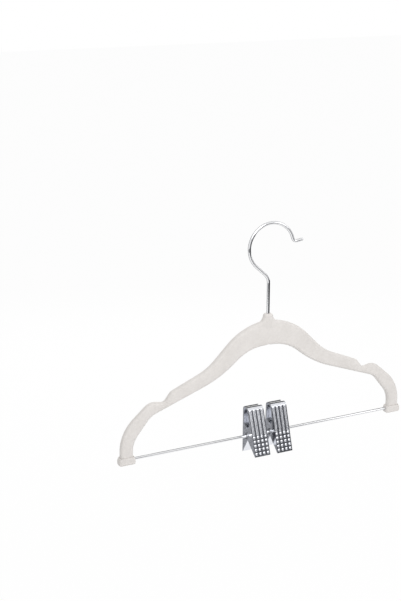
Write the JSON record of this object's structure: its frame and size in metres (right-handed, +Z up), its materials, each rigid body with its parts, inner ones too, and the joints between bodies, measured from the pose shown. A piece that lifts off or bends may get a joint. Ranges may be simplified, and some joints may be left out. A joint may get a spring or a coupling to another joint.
{
  "type": "skirt hanger",
  "caption": "Flocked clothes hanger with curved notched arms, a swivelling wire hook, a round trouser bar and sprung clips that slide along it.",
  "frame": {"origin": "inside of the hook where the rail bears, on the hook's swivel axis", "axes": "+Z up along the swivel axis, +X along the hanger towards the hook's open side, -Y towards the viewer"},
  "size_m": [0.3, 0.0293, 0.225],
  "materials": {
    "flock": "velvet flock",
    "polished_wire": "bright plated",
    "clip_plate": "bright plated",
    "steel": "plain",
    "bush": "moulded",
    "grip": "soft"
  },
  "bodies": {
    "hook": {"hook": "polished_wire", "hook_washer": "steel"},
    "hanger_frame": {"hanger_body": "flock", "left_end_cap": "flock", "right_end_cap": "flock", "trouser_bar": "polished_wire", "hook_bush": "bush"},
    "left_slider": {"left_clip_tube": "steel"},
    "left_rear": {"left_rear_jaw": "clip_plate", "left_rear_pad": "grip", "left_spring": "steel"},
    "left_front": {"left_front_jaw": "clip_plate", "left_front_pad": "grip"},
    "right_slider": {"right_clip_tube": "steel"},
    "right_rear": {"right_rear_jaw": "clip_plate", "right_rear_pad": "grip", "right_spring": "steel"},
    "right_front": {"right_front_jaw": "clip_plate", "right_front_pad": "grip"}
  },
  "joints": [
    {"name": "hook_swivel", "type": "hinge", "parent": "hook", "child": "hanger_frame", "pos_m": [0, 0, 0], "axis": [0, 0, 1], "continuous": true},
    {"name": "left_clip_slide", "type": "slide", "parent": "hanger_frame", "child": "left_slider", "axis": [1, 0, 0], "range_m": [-0.098, 0.003]},
    {"name": "left_clip_swing", "type": "hinge", "parent": "left_slider", "child": "left_rear", "pos_m": [-0.012, 0, -0.202], "axis": [1, 0, 0], "continuous": true},
    {"name": "left_clip_squeeze", "type": "hinge", "parent": "left_rear", "child": "left_front", "pos_m": [-0.012, 0, -0.202], "axis": [1, 0, 0], "range_deg": [0, 45], "stiffness_Nm_per_rad": 0.1, "springref_deg": -45.84, "deforming": ["left_spring"]},
    {"name": "right_clip_slide", "type": "slide", "parent": "hanger_frame", "child": "right_slider", "axis": [1, 0, 0], "range_m": [-0.003, 0.098]},
    {"name": "right_clip_swing", "type": "hinge", "parent": "right_slider", "child": "right_rear", "pos_m": [0.012, 0, -0.202], "axis": [1, 0, 0], "continuous": true},
    {"name": "right_clip_squeeze", "type": "hinge", "parent": "right_rear", "child": "right_front", "pos_m": [0.012, 0, -0.202], "axis": [1, 0, 0], "range_deg": [0, 45], "stiffness_Nm_per_rad": 0.1, "springref_deg": -45.84, "deforming": ["right_spring"]}
  ]
}
